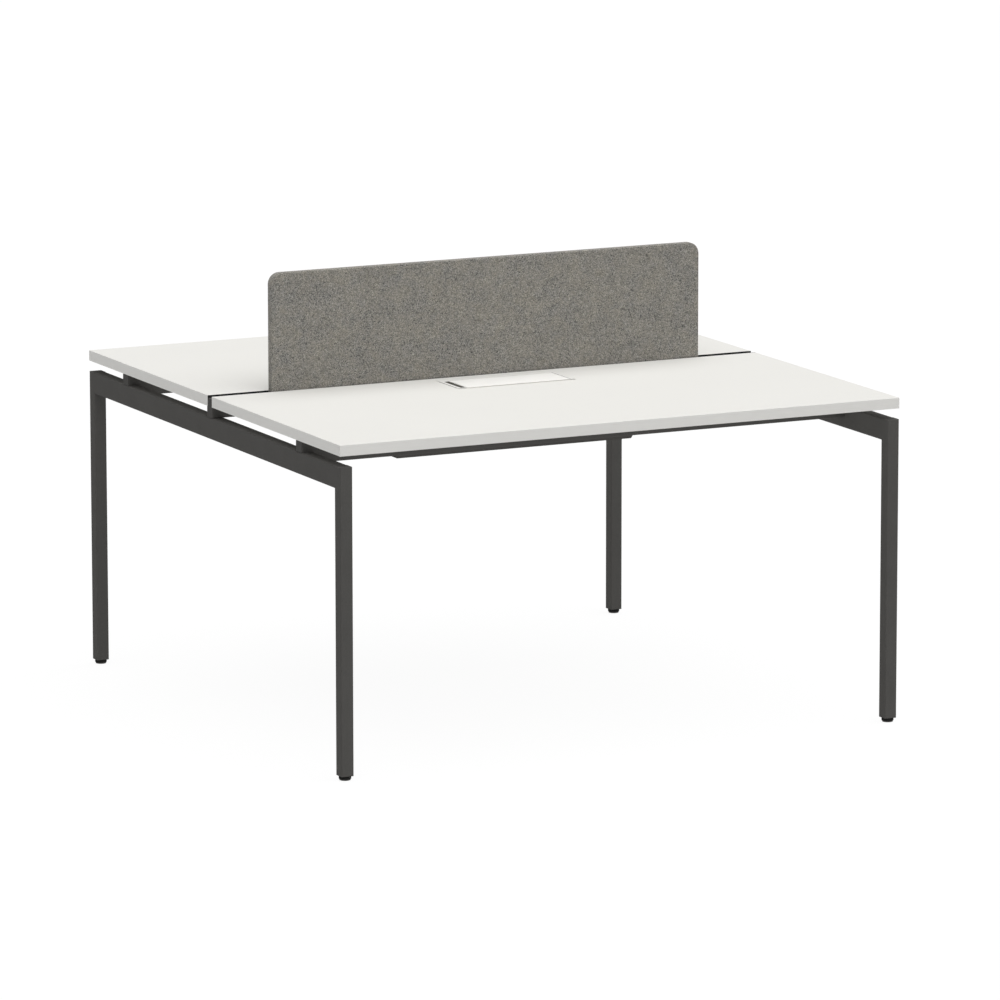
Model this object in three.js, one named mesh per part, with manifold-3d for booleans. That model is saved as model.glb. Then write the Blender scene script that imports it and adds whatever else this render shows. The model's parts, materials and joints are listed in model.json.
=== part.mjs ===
// Benching desk for two: two worktops back to back on one steel frame, a shared screen
// on the centre spine, a flip-top cable box in each worktop and a shared cable tray below.
// Millimetres, +Z up. Origin on the floor at the middle of the desk, +X along the worktops,
// -Y towards the front user. The rear half is the front half turned half a turn about Z.

import * as THREE from 'three';
import { mergeVertices } from 'three/addons/utils/BufferGeometryUtils.js';
import Module from 'manifold-3d';

// Overall sizes
const deskLength = 1400;
const topDepth = 700;
const topThickness = 25;
const spineGap = 24;            // between the inner edges of the two worktops
const deskHeight = 755;         // floor to worktop surface, feet screwed out a little

// Worktop edging
const bandThickness = 2;
const bandRadius = 1;

// Legs and side rails, one tube width for both
const tubeWidth = 30;
const tubeWall = 2;
const tubeCorner = 2.5;
const railHeight = 50;
const legCapThickness = 3;
const plugLength = 12;          // how far caps reach into their tube
const plugClearance = 0.3;

// Levelling feet and the plugs they screw into
const footShow = 10;            // floor to the underside of the leg plug
const padRadius = 14;
const padHeight = 5;
const padEdge = 1.5;
const nutRadius = 7;
const stemRadius = 4;
const stemLength = 38;
const insertFlange = 2;
const insertLength = 26;
const stemClearance = 0.3;

// Longitudinal beams
const beamWidth = 30;
const beamHeight = 25;          // between the rails and the worktops
const deepBeamHeight = 50;      // front and rear beams, notched over the rails
const beamWall = 2;
const beamCorner = 2;
const beamInset = 220;          // outer edge of a worktop to the middle of its beam
const beamCapThickness = 2;
const notchClearance = 0.5;

// Angle brackets between beams and worktops
const bracketLeg = 22;
const bracketReach = 30;
const bracketLength = 40;
const bracketThickness = 2.5;
const bracketSpan = 900;        // between the two brackets on one beam side

// Channel on the spine that holds the screen
const channelClearance = 0.3;
const channelWall = 1.5;
const channelCapDrop = 6;       // cap top below the worktop surface
const channelCapLength = 10;

// Screen
const screenLength = 1100;
const screenRise = 273;         // above the worktop surface
const screenCorner = 27;
const screenEdge = 2.5;         // rounding of the upholstered edges
const screenClearance = 0.3;    // between screen and channel wall
const coverThickness = 3;
const coreClearance = 0.3;

// Flip-top cable box
const flipLength = 297;
const flipDepth = 115;
const flipShift = 1.5;          // middle of the box, to the user's right
const flipSetback = 30;         // inner worktop edge to the rim
const rimGap = 0.3;             // rim to worktop at the right end and rear
const leftGap = 2.5;            // rim to worktop at the left end
const fingerGroove = 10;        // rim to worktop at the front
const rimThickness = 5;
const rimLip = 6;               // how far the rim sits on its rebate
const collarClearance = 0.5;
const collarWall = 2;
const collarDrop = 2;           // below the worktop
const slotBorder = 8.5;         // left end of the rim to the cable slot
const slotWidth = 14.5;
const slotFrontBorder = 5;
const rearBorder = 11;
const rightBorder = 7;
const earDrop = 4;              // hinge ear below the rim
const earLength = 8;

// Lid and its hinge
const lidThickness = 2.5;
const lidGap = 1.8;
const lidUndercut = 2;          // finger pull along the front edge
const lidRest = 0.3;            // over the front ledge
const barrelRadius = 3;
const barrelGap = 1;
const rodRadius = 1.5;
const rodClearance = 0.3;
const rodSeat = 6;              // how far the rod sits in each ear

// Cable tray
const trayLength = 610;
const trayWidth = 304;
const trayHeight = 101;
const trayTop = 1;              // below the beam underside
const sheet = 1.5;
const trayChamferLength = 5;
const trayChamferHeight = 7;
const traySlotLength = 70;
const traySlotWidth = 12;
const traySlotColumns = 5;
const traySlotPitch = 108;
const traySlotRowGap = 150;     // between the two rows of slots
const hangerWidth = 30;
const hangerThickness = 3;
const hangerLeg = 40;
const hangerSpan = 400;

// Facets: an arc gets two for each step
const cornerSteps = 2;          // on a tube corner
const screenSteps = 6;          // on a screen corner
const roundSteps = 12;          // on a full round
const rodSteps = 6;             // on the hinge rod, its bores and the lid's barrel

// Levels and places worked out from the sizes above
const topUnderside = deskHeight - topThickness;
const railTop = topUnderside - beamHeight;
const halfLength = deskLength / 2;
const halfDepth = spineGap / 2 + topDepth;
const legBottom = footShow + insertFlange;
const legCentreX = halfLength - tubeWidth / 2;
const legCentreY = halfDepth - tubeWidth / 2;
const beamCentreY = halfDepth - beamInset;
const channelWidth = spineGap - 2 * channelClearance;
const channelFloor = topUnderside + channelWall;
const screenThickness = channelWidth - 2 * channelWall - 2 * screenClearance;
const flipRear = -(spineGap / 2 + flipSetback);
const flipFront = flipRear - flipDepth;
const flipLeft = flipShift - flipLength / 2;
const flipRight = flipShift + flipLength / 2;
const slotLeft = flipLeft + slotBorder;
const lidLeft = slotLeft + slotWidth;
const openingRight = flipRight - rightBorder;
const lidRight = openingRight - lidGap;
const openingRear = flipRear - rearBorder;
const hingeY = openingRear - barrelGap - barrelRadius;
const hingeZ = deskHeight - barrelRadius;
const trayCeiling = railTop - trayTop;
const trayFloor = trayCeiling - trayHeight;

// Left and right are the front user's. The rear half is turned round, so its ends swap names.
const endNames = { front: ['left', 'right'], rear: ['right', 'left'] };

// Materials
function finish(color, roughness, metalness) {
  return new THREE.MeshStandardMaterial({ color, roughness, metalness });
}
const boardWhite = finish(0xeceae4, 0.5, 0);
const bandWhite = finish(0xe4e2dc, 0.55, 0);
const frameGrey = finish(0x4a4947, 0.5, 0.2);
const capGrey = finish(0x3f3e3c, 0.6, 0);
const footBlack = finish(0x1f1f1f, 0.6, 0);
const feltGrey = finish(0x7d7a73, 1, 0);
const coreBrown = finish(0x9b8566, 0.9, 0);
const flipWhite = finish(0xeeece6, 0.4, 0);
const brightSteel = finish(0xb0b0b0, 0.35, 0.9);

// Solids: joining and cutting
const wasm = await Module();
wasm.setup();

function toSolid(geometry) {
  const bare = geometry.clone();
  bare.deleteAttribute('normal');
  bare.deleteAttribute('uv');
  const merged = mergeVertices(bare, 1e-4);
  const vertProperties = new Float32Array(merged.attributes.position.array);
  const triVerts = new Uint32Array(merged.index.array);
  return new wasm.Manifold(new wasm.Mesh({ numProp: 3, vertProperties, triVerts }));
}

function toGeometry(solid) {
  const mesh = solid.getMesh();
  const geometry = new THREE.BufferGeometry();
  geometry.setAttribute('position', new THREE.BufferAttribute(mesh.vertProperties, 3));
  geometry.setIndex(new THREE.BufferAttribute(mesh.triVerts, 1));
  geometry.computeVertexNormals();
  return geometry;
}

function join(...geometries) {
  return toGeometry(geometries.map(toSolid).reduce((all, next) => all.add(next)));
}

function cut(geometry, ...tools) {
  return toGeometry(tools.map(toSolid).reduce((all, next) => all.subtract(next), toSolid(geometry)));
}

// Outlines
function roundedRect(target, width, height, radius) {
  const x = width / 2;
  const y = height / 2;
  const r = Math.max(radius, 0.01);
  target.moveTo(x, -y + r);
  target.lineTo(x, y - r);
  target.absarc(x - r, y - r, r, 0, Math.PI / 2);
  target.lineTo(-x + r, y);
  target.absarc(-x + r, y - r, r, Math.PI / 2, Math.PI);
  target.lineTo(-x, -y + r);
  target.absarc(-x + r, -y + r, r, Math.PI, 1.5 * Math.PI);
  target.lineTo(x - r, -y);
  target.absarc(x - r, -y + r, r, 1.5 * Math.PI, 2 * Math.PI);
  return target;
}

function tubeShape(width, height, radius, wall) {
  const shape = roundedRect(new THREE.Shape(), width, height, radius);
  const inner = Math.max(radius - wall, 0.5);
  shape.holes.push(roundedRect(new THREE.Path(), width - 2 * wall, height - 2 * wall, inner));
  return shape;
}

function polygon(points) {
  return new THREE.Shape(points.map(([x, y]) => new THREE.Vector2(x, y)));
}

function circle(target, radius) {
  target.absarc(0, 0, radius, 0, 2 * Math.PI);
  return target;
}

// Extrusions: the outline is drawn in the plane across the axis it runs along
const alongX = new THREE.Matrix4().makeBasis(
  new THREE.Vector3(0, 1, 0),
  new THREE.Vector3(0, 0, 1),
  new THREE.Vector3(1, 0, 0),
);
const alongY = new THREE.Matrix4().makeBasis(
  new THREE.Vector3(0, 0, 1),
  new THREE.Vector3(1, 0, 0),
  new THREE.Vector3(0, 1, 0),
);

function extrudeZ(shape, from, to, curveSegments = cornerSteps) {
  const options = { depth: to - from, bevelEnabled: false, curveSegments };
  return new THREE.ExtrudeGeometry(shape, options).translate(0, 0, from);
}

function extrudeX(shape, from, to, curveSegments = cornerSteps) {
  return extrudeZ(shape, from, to, curveSegments).applyMatrix4(alongX);
}

function extrudeY(shape, from, to, curveSegments = cornerSteps) {
  return extrudeZ(shape, from, to, curveSegments).applyMatrix4(alongY);
}

function block(x0, x1, y0, y1, z0, z1) {
  const box = new THREE.BoxGeometry(x1 - x0, y1 - y0, z1 - z0);
  return box.translate((x0 + x1) / 2, (y0 + y1) / 2, (z0 + z1) / 2);
}

function piece(name, geometry, material, x = 0, y = 0, z = 0) {
  const mesh = new THREE.Mesh(geometry, material);
  mesh.name = name;
  mesh.position.set(x, y, z);
  return mesh;
}

// Worktop: a board with a rebated cut-out for the flip-top box, and its four edge bands
function worktopBoard() {
  const inner = -spineGap / 2 - bandThickness;
  const outer = -halfDepth + bandThickness;
  const end = halfLength - bandThickness;
  const board = block(-end, end, outer, inner, topUnderside, deskHeight);
  const rebate = block(
    flipLeft - leftGap, flipRight + rimGap,
    flipFront - fingerGroove, flipRear + rimGap,
    deskHeight - rimThickness, deskHeight + 1,
  );
  const hole = block(
    flipLeft + rimLip, flipRight - rimLip,
    flipFront + rimLip, flipRear - rimLip,
    topUnderside - 1, deskHeight + 1,
  );
  return cut(board, rebate, hole);
}

// Section of an edge band: flat against the board, its two outer edges rounded.
// Drawn with the outer face towards +x and the height along y.
function bandShape() {
  const h = topThickness / 2;
  const t = bandThickness;
  const r = bandRadius;
  const shape = new THREE.Shape();
  shape.moveTo(0, -h);
  shape.lineTo(t - r, -h);
  shape.absarc(t - r, -h + r, r, -Math.PI / 2, 0);
  shape.lineTo(t, h - r);
  shape.absarc(t - r, h - r, r, 0, Math.PI / 2);
  shape.lineTo(0, h);
  return shape;
}

function worktop(side) {
  const group = new THREE.Group();
  const [left, right] = endNames[side];
  const midZ = topUnderside + topThickness / 2;
  const midY = -spineGap / 2 - topDepth / 2;
  const long = extrudeX(bandShape(), -halfLength, halfLength);
  const run = topDepth / 2 - bandThickness;
  const short = extrudeX(bandShape(), -run, run);
  const innerBand = piece(`${side}_top_inner_edge_band`, long, bandWhite, 0,
    midY + run, midZ);
  const outerBand = piece(`${side}_top_outer_edge_band`, long, bandWhite, 0,
    midY - run, midZ);
  outerBand.rotation.z = Math.PI;
  const leftBand = piece(`${side}_top_${left}_edge_band`, short, bandWhite,
    -halfLength + bandThickness, midY, midZ);
  leftBand.rotation.z = Math.PI / 2;
  const rightBand = piece(`${side}_top_${right}_edge_band`, short, bandWhite,
    halfLength - bandThickness, midY, midZ);
  rightBand.rotation.z = -Math.PI / 2;
  group.add(piece(`${side}_worktop`, worktopBoard(), boardWhite));
  group.add(innerBand, outerBand, leftBand, rightBand);
  return group;
}

// Cap for the end of a tube: a plate of the tube's outline with a plug that fits inside.
// It lies on the plane z = 0 with the plug going down.
function tubeCap(width, height, radius, wall, thickness) {
  const plate = extrudeZ(roundedRect(new THREE.Shape(), width, height, radius), 0, thickness);
  const inside = 2 * (wall + plugClearance);
  const plugShape = roundedRect(new THREE.Shape(), width - inside, height - inside, radius);
  const plug = extrudeZ(plugShape, -plugLength, thickness / 2);
  return join(plate, plug);
}

// Leg: square tube, cap on top, plug below, levelling foot screwed into the plug
function footProfile() {
  const points = [
    [0, 0], [padRadius - padEdge, 0], [padRadius, padEdge], [padRadius, padHeight - padEdge],
    [padRadius - padEdge, padHeight], [nutRadius, padHeight + padEdge], [nutRadius, footShow],
    [stemRadius, footShow], [stemRadius, footShow + stemLength], [0, footShow + stemLength],
  ];
  return points.map(([r, z]) => new THREE.Vector2(r, z));
}

function levellingFoot() {
  return new THREE.LatheGeometry(footProfile(), 2 * roundSteps).rotateX(Math.PI / 2);
}

function legInsert() {
  const flange = extrudeZ(roundedRect(new THREE.Shape(), tubeWidth, tubeWidth, tubeCorner),
    footShow, legBottom);
  const inside = tubeWidth - 2 * (tubeWall + plugClearance);
  const plug = extrudeZ(roundedRect(new THREE.Shape(), inside, inside, tubeCorner),
    footShow, legBottom + insertLength);
  const bore = extrudeZ(circle(new THREE.Shape(), stemRadius + stemClearance),
    footShow - 1, legBottom + insertLength + 1, roundSteps);
  return cut(join(flange, plug), bore);
}

// Weld ground flush in the two hollows where the rail's end meets the leg's rounded corners
function weldFill(x, towardsRail, tubeTop) {
  const outer = tubeWidth / 2;
  const inner = outer - tubeCorner;
  const [y0, y1] = towardsRail > 0 ? [inner, outer] : [-outer, -inner];
  return block(x > 0 ? inner : -outer, x > 0 ? outer : -inner, y0, y1,
    railTop - railHeight + tubeCorner, tubeTop);
}

function leg(name, x, y) {
  const group = new THREE.Group();
  const tubeTop = railTop - legCapThickness;
  const plain = extrudeZ(tubeShape(tubeWidth, tubeWidth, tubeCorner, tubeWall), legBottom, tubeTop);
  const tube = join(plain, weldFill(-1, -y, tubeTop), weldFill(1, -y, tubeTop));
  const cap = tubeCap(tubeWidth, tubeWidth, tubeCorner, tubeWall, legCapThickness);
  group.add(piece(`${name}_leg`, tube, frameGrey));
  group.add(piece(`${name}_leg_cap`, cap, frameGrey, 0, 0, tubeTop));
  group.add(piece(`${name}_leg_plug`, legInsert(), capGrey));
  group.add(piece(`${name}_levelling_foot`, levellingFoot(), footBlack));
  group.position.set(x, y, 0);
  return group;
}

function sideRail(name, x) {
  const run = halfDepth - tubeWidth;
  const tube = extrudeY(tubeShape(railHeight, tubeWidth, tubeCorner, tubeWall), -run, run);
  return piece(name, tube, frameGrey, x, 0, railTop - railHeight / 2);
}

// Tube of a beam, its top at z = 0. A tube deeper than the space over the rails is notched at
// both ends to sit on them, and a folded plate closes each notch.
function beamTube(height, run) {
  const tube = extrudeX(tubeShape(beamWidth, height, beamCorner, beamWall), -run, run);
  tube.translate(0, 0, -height / 2);
  if (height <= beamHeight) {
    return tube;
  }
  const reach = halfLength - tubeWidth - notchClearance;
  const side = (beamWidth - beamWall) / 2;
  const notch = block(reach, run + 1, -beamWidth, beamWidth, -height - 1, -beamHeight);
  const sole = block(reach - beamWall, run, -side, side, -beamHeight, beamWall - beamHeight);
  const cheek = block(reach - beamWall, reach, -side, side,
    beamWall / 2 - height, beamWall / 2 - beamHeight);
  const turned = (geometry) => geometry.clone().rotateZ(Math.PI);
  return join(cut(tube, notch, turned(notch)), sole, cheek, turned(sole), turned(cheek));
}

// Beam: rectangular tube on the two side rails, capped at both ends
function beam(name, y, height, [left, right]) {
  const group = new THREE.Group();
  const run = halfLength - beamCapThickness;
  const cap = tubeCap(beamHeight, beamWidth, beamCorner, beamWall, beamCapThickness);
  const leftCap = piece(`${name}_${left}_cap`, cap, capGrey, -run, 0, -beamHeight / 2);
  leftCap.rotation.y = -Math.PI / 2;
  const rightCap = piece(`${name}_${right}_cap`, cap, capGrey, run, 0, -beamHeight / 2);
  rightCap.rotation.y = Math.PI / 2;
  group.add(piece(name, beamTube(height, run), frameGrey), leftCap, rightCap);
  group.position.set(0, y, topUnderside);
  return group;
}

// Angle bracket: upright leg against a beam's side, flat leg under the worktop.
// Drawn with the beam's side face at x = 0 and the worktop underside at y = 0.
function bracket(name, x, y, turn) {
  const t = bracketThickness;
  const shape = polygon([
    [0, 0], [0, -bracketLeg], [t, -bracketLeg], [t, -t], [bracketReach, -t], [bracketReach, 0],
  ]);
  const angle = piece(name, extrudeX(shape, -bracketLength / 2, bracketLength / 2), frameGrey,
    x, y, topUnderside);
  angle.rotation.z = turn;
  return angle;
}

// Screen channel: open-topped U on the spine, with a low cap in each end
function screenChannel() {
  const w = channelWidth / 2;
  const i = w - channelWall;
  const shape = polygon([
    [-w, topUnderside], [w, topUnderside], [w, deskHeight], [i, deskHeight],
    [i, channelFloor], [-i, channelFloor], [-i, deskHeight], [-w, deskHeight],
  ]);
  return extrudeX(shape, -halfLength, halfLength);
}

function channelCap(x0, x1) {
  const w = channelWidth / 2 - channelWall - channelClearance;
  return block(x0, x1, -w, w, channelFloor, deskHeight - channelCapDrop);
}

// Screen: a board with round upper corners in a felt cover that is open below
function screenOutline(length, height, radius) {
  const x = length / 2;
  const shape = new THREE.Shape();
  shape.moveTo(0, x);
  shape.lineTo(0, -x);
  shape.lineTo(height - radius, -x);
  shape.absarc(height - radius, -x + radius, radius, -Math.PI / 2, 0);
  shape.lineTo(height, x - radius);
  shape.absarc(height - radius, x - radius, radius, 0, Math.PI / 2);
  return shape;
}

const screenHeight = deskHeight + screenRise - channelFloor;

function screenSlab(inset, below) {
  const thickness = screenThickness - 2 * inset;
  const outline = screenOutline(screenLength - 2 * inset, screenHeight - inset + below,
    screenCorner - inset);
  const slab = extrudeY(outline, -thickness / 2, thickness / 2, screenSteps);
  return slab.translate(0, 0, channelFloor - below);
}

function screenCover() {
  const outline = screenOutline(screenLength, screenHeight, screenCorner);
  const bevel = {
    depth: screenThickness - 2 * screenEdge,
    bevelThickness: screenEdge,
    bevelSize: screenEdge,
    bevelOffset: -screenEdge,
    bevelSegments: 3,
    curveSegments: screenSteps,
  };
  const outer = new THREE.ExtrudeGeometry(outline, bevel).applyMatrix4(alongY);
  outer.translate(0, screenEdge - screenThickness / 2, channelFloor);
  return cut(outer, screenSlab(coverThickness, screenEdge));
}

// Flip-top box: rim in the rebate, collar through the board, hinge ear behind the cable slot
function flipFrame() {
  const rimBottom = deskHeight - rimThickness;
  const ledge = deskHeight - lidThickness - lidRest;
  const out = rimLip + collarClearance;
  const wall = out + collarWall;
  const rim = block(flipLeft, flipRight, flipFront, flipRear, rimBottom, deskHeight);
  const collar = block(flipLeft + out, flipRight - out, flipFront + out, flipRear - out,
    topUnderside - collarDrop, rimBottom + 1);
  const well = block(flipLeft + wall, flipRight - wall, flipFront + wall, flipRear - wall,
    topUnderside - collarDrop - 1, rimBottom);
  const ear = block(slotLeft - 1, lidLeft - lidGap, hingeY - earLength / 2, openingRear + 1,
    rimBottom - earDrop, rimBottom + 1);
  const underLid = block(lidLeft - lidGap, openingRight, flipFront - 1, openingRear,
    ledge, deskHeight + 1);
  const opening = block(lidLeft - lidGap, openingRight, flipFront + wall, openingRear,
    rimBottom - 1, deskHeight + 1);
  const slot = block(slotLeft, lidLeft, flipFront + slotFrontBorder, hingeY - earLength / 2,
    rimBottom - 1, deskHeight + 1);
  const rodHole = extrudeX(circle(new THREE.Shape(), rodRadius + rodClearance),
    lidLeft - lidGap - rodSeat - rodClearance, openingRight + rodSeat + rodClearance, rodSteps);
  rodHole.translate(0, hingeY, hingeZ);
  const shell = toGeometry(toSolid(join(rim, collar)).subtract(toSolid(well)));
  return cut(join(shell, ear), underLid, opening, slot, rodHole);
}

// Lid: one extruded section, a flat plate with an undercut front edge running into a hinge
// barrel with a through bore.
// Drawn about the hinge axis with x towards the rear.
function lidShape() {
  const reach = hingeY - flipFront;
  const under = barrelRadius - lidThickness;
  const start = Math.asin(under / barrelRadius);
  const shape = new THREE.Shape();
  shape.moveTo(0, barrelRadius);
  shape.lineTo(-reach, barrelRadius);
  shape.lineTo(-reach + lidUndercut, under);
  shape.lineTo(-barrelRadius * Math.cos(start), under);
  shape.absarc(0, 0, barrelRadius, Math.PI - start, 2.5 * Math.PI);
  shape.holes.push(circle(new THREE.Path(), rodRadius + rodClearance));
  return shape;
}

function flipTop(side) {
  const group = new THREE.Group();
  const lid = extrudeX(lidShape(), lidLeft, lidRight, rodSteps);
  const rod = extrudeX(circle(new THREE.Shape(), rodRadius), lidLeft - lidGap - rodSeat,
    openingRight + rodSeat, rodSteps);
  group.add(piece(`${side}_flip_frame`, flipFrame(), flipWhite));
  group.add(piece(`${side}_flip_lid`, lid, flipWhite, 0, hingeY, hingeZ));
  group.add(piece(`${side}_hinge_rod`, rod, brightSteel, 0, hingeY, hingeZ));
  return group;
}

// Cable tray: folded sheet with chamfered ends and two rows of slots in its floor
function trayWall(y) {
  const x = trayLength / 2;
  const shape = polygon([
    [trayCeiling, -x], [trayCeiling, x], [trayFloor + trayChamferHeight, x],
    [trayFloor, x - trayChamferLength], [trayFloor, -x + trayChamferLength],
    [trayFloor + trayChamferHeight, -x],
  ]);
  return extrudeY(shape, y, y + sheet);
}

function traySlot(x, y) {
  const r = traySlotWidth / 2;
  const half = traySlotLength / 2 - r;
  const path = new THREE.Path();
  path.moveTo(x - half, y - r);
  path.lineTo(x + half, y - r);
  path.absarc(x + half, y, r, -Math.PI / 2, Math.PI / 2);
  path.lineTo(x - half, y + r);
  path.absarc(x - half, y, r, Math.PI / 2, 1.5 * Math.PI);
  return path;
}

function cableTray() {
  const x = trayLength / 2 - trayChamferLength;
  const y = trayWidth / 2;
  const floor = polygon([[-x, -y], [x, -y], [x, y], [-x, y]]);
  for (let column = 0; column < traySlotColumns; column += 1) {
    const slotX = (column - (traySlotColumns - 1) / 2) * traySlotPitch;
    floor.holes.push(traySlot(slotX, -traySlotRowGap / 2), traySlot(slotX, traySlotRowGap / 2));
  }
  return join(extrudeZ(floor, trayFloor, trayFloor + sheet), trayWall(-y), trayWall(y - sheet));
}

// Hanger: a strap under the spine, its two ends turned down inside the tray walls
function trayHanger(x) {
  const y = trayWidth / 2 - sheet;
  const i = y - hangerThickness;
  const foot = railTop - hangerLeg;
  const under = railTop - hangerThickness;
  const shape = polygon([
    [-y, foot], [-i, foot], [-i, under], [i, under], [i, foot], [y, foot], [y, railTop], [-y, railTop],
  ]);
  return extrudeX(shape, x - hangerWidth / 2, x + hangerWidth / 2);
}

// The front half and, turned half a turn, the rear half
function deskHalf(side) {
  const half = new THREE.Group();
  const [left, right] = endNames[side];
  half.add(worktop(side), flipTop(side));
  half.add(beam(`${side}_beam`, -beamCentreY, deepBeamHeight, [left, right]));
  for (const [end, x] of [[left, -bracketSpan / 2], [right, bracketSpan / 2]]) {
    half.add(bracket(`${side}_beam_bracket_${end}`, x, -beamCentreY + beamWidth / 2, 0));
    half.add(bracket(`${side}_spine_bracket_${end}`, x, -beamWidth / 2, Math.PI));
  }
  return half;
}

const desk = new THREE.Group();
const rearHalf = deskHalf('rear');
rearHalf.rotation.z = Math.PI;
desk.add(deskHalf('front'), rearHalf);
for (const [depthName, y] of Object.entries({ front: -legCentreY, rear: legCentreY })) {
  for (const [endName, x] of Object.entries({ left: -legCentreX, right: legCentreX })) {
    desk.add(leg(`${depthName}_${endName}`, x, y));
  }
}
desk.add(sideRail('left_side_rail', -legCentreX), sideRail('right_side_rail', legCentreX));
desk.add(beam('spine_beam', 0, beamHeight, endNames.front));
desk.add(piece('screen_channel', screenChannel(), frameGrey));
desk.add(piece('screen_channel_left_cap',
  channelCap(-halfLength, -halfLength + channelCapLength), capGrey));
desk.add(piece('screen_channel_right_cap',
  channelCap(halfLength - channelCapLength, halfLength), capGrey));
desk.add(piece('screen_core', screenSlab(coverThickness + coreClearance, 0), coreBrown));
desk.add(piece('screen_cover', screenCover(), feltGrey));
desk.add(piece('cable_tray', cableTray(), frameGrey));
desk.add(piece('tray_hanger_left', trayHanger(-hangerSpan / 2), frameGrey));
desk.add(piece('tray_hanger_right', trayHanger(hangerSpan / 2), frameGrey));

export default desk;
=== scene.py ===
import json
import math

import bmesh
import bpy
import numpy as np
from mathutils import Matrix, Vector


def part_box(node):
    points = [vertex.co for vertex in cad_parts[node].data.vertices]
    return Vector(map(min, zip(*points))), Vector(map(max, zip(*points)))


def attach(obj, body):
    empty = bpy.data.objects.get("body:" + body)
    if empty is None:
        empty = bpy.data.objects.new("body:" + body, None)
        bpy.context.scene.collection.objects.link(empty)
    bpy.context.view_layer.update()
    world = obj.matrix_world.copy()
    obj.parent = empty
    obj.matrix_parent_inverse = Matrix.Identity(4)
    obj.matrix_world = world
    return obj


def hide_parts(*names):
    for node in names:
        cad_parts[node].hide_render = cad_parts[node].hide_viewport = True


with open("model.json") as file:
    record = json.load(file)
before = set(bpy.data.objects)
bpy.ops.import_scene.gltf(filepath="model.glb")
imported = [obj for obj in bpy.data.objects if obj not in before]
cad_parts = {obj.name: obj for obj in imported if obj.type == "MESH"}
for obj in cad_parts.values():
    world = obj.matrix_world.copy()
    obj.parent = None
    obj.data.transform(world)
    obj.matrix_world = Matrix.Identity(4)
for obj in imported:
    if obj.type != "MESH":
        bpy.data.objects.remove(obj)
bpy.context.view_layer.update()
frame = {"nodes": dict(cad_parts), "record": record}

nodes = frame["nodes"]
mm = 0.001


# material helpers

def newMaterial(name):
    mat = bpy.data.materials.new(name)
    mat.use_nodes = True
    tree = mat.node_tree
    shader = tree.nodes["Principled BSDF"]
    coords = tree.nodes.new("ShaderNodeTexCoord").outputs["Object"]
    return mat, tree, shader, coords


def noiseAt(tree, coords, size, detail=2.0, roughness=0.5, distortion=0.0, stretch=None):
    # size is the width of one blot in metres
    if stretch is not None:
        mapping = tree.nodes.new("ShaderNodeMapping")
        mapping.inputs["Scale"].default_value = stretch
        tree.links.new(coords, mapping.inputs["Vector"])
        coords = mapping.outputs["Vector"]
    tex = tree.nodes.new("ShaderNodeTexNoise")
    tex.inputs["Scale"].default_value = 1.0 / size
    tex.inputs["Detail"].default_value = detail
    tex.inputs["Roughness"].default_value = roughness
    tex.inputs["Distortion"].default_value = distortion
    tree.links.new(coords, tex.inputs["Vector"])
    return tex.outputs["Fac"]


def rampOf(tree, value, stops):
    # stops are (position, grey or rgb)
    node = tree.nodes.new("ShaderNodeValToRGB")
    band = node.color_ramp
    while len(band.elements) < len(stops):
        band.elements.new(0.5)
    for element, (position, colour) in zip(band.elements, stops):
        rgb = (colour,) * 3 if isinstance(colour, float) else colour
        element.position = position
        element.color = (*rgb, 1.0)
    tree.links.new(value, node.inputs["Fac"])
    return node.outputs["Color"]


def mixOf(tree, first, second, factor=1.0, mode="MULTIPLY"):
    # sockets 0, 6 and 7 are the factor and the two colours, output 2 is their mix
    node = tree.nodes.new("ShaderNodeMix")
    node.data_type = "RGBA"
    node.blend_type = mode
    for socket, value in ((node.inputs[0], factor), (node.inputs[6], first), (node.inputs[7], second)):
        if isinstance(value, bpy.types.NodeSocket):
            tree.links.new(value, socket)
        else:
            socket.default_value = value if isinstance(value, float) else (*value, 1.0)
    return node.outputs[2]


def bumpOf(tree, height, strength, distance, under=None):
    node = tree.nodes.new("ShaderNodeBump")
    node.inputs["Strength"].default_value = strength
    node.inputs["Distance"].default_value = distance
    tree.links.new(height, node.inputs["Height"])
    if under is not None:
        tree.links.new(under, node.inputs["Normal"])
    return node.outputs["Normal"]


def mathOf(tree, operation, *values):
    node = tree.nodes.new("ShaderNodeMath")
    node.operation = operation
    for socket, value in zip(node.inputs, values):
        if isinstance(value, float):
            socket.default_value = value
        else:
            tree.links.new(value, socket)
    return node.outputs["Value"]


def splitOf(tree):
    # X, Y and Z of the piece's own place, for a change of colour along one of them
    node = tree.nodes.new("ShaderNodeSeparateXYZ")
    tree.links.new(tree.nodes["Texture Coordinate"].outputs["Object"], node.inputs["Vector"])
    return node.outputs


def link(tree, output, shader, socket):
    tree.links.new(output, shader.inputs[socket])


# finishes

melamineLook = {
    "white": (0.812, 0.803, 0.769),
    "shade": (0.804, 0.795, 0.761),
    "cloudSize": 0.3,
    "grainSize": 0.0011,
}


def melamineBoard():
    # white faced board: a faint pearl grain in the pressed surface and an even, satin sheen
    mat, tree, shader, coords = newMaterial("melamineBoard")
    look = melamineLook
    cloud = noiseAt(tree, coords, look["cloudSize"], 2.0)
    pearl = noiseAt(tree, coords, look["grainSize"], 3.0)
    face = rampOf(tree, cloud, [(0.3, look["shade"]), (0.7, look["white"])])
    face = mixOf(tree, face, rampOf(tree, pearl, [(0.3, 0.985), (0.7, 1.0)]))
    link(tree, face, shader, "Base Color")
    link(tree, rampOf(tree, pearl, [(0.2, 0.50), (0.8, 0.62)]), shader, "Roughness")
    link(tree, bumpOf(tree, pearl, 0.06, 0.0003), shader, "Normal")
    shader.inputs["Specular IOR Level"].default_value = 0.3
    return mat


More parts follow.
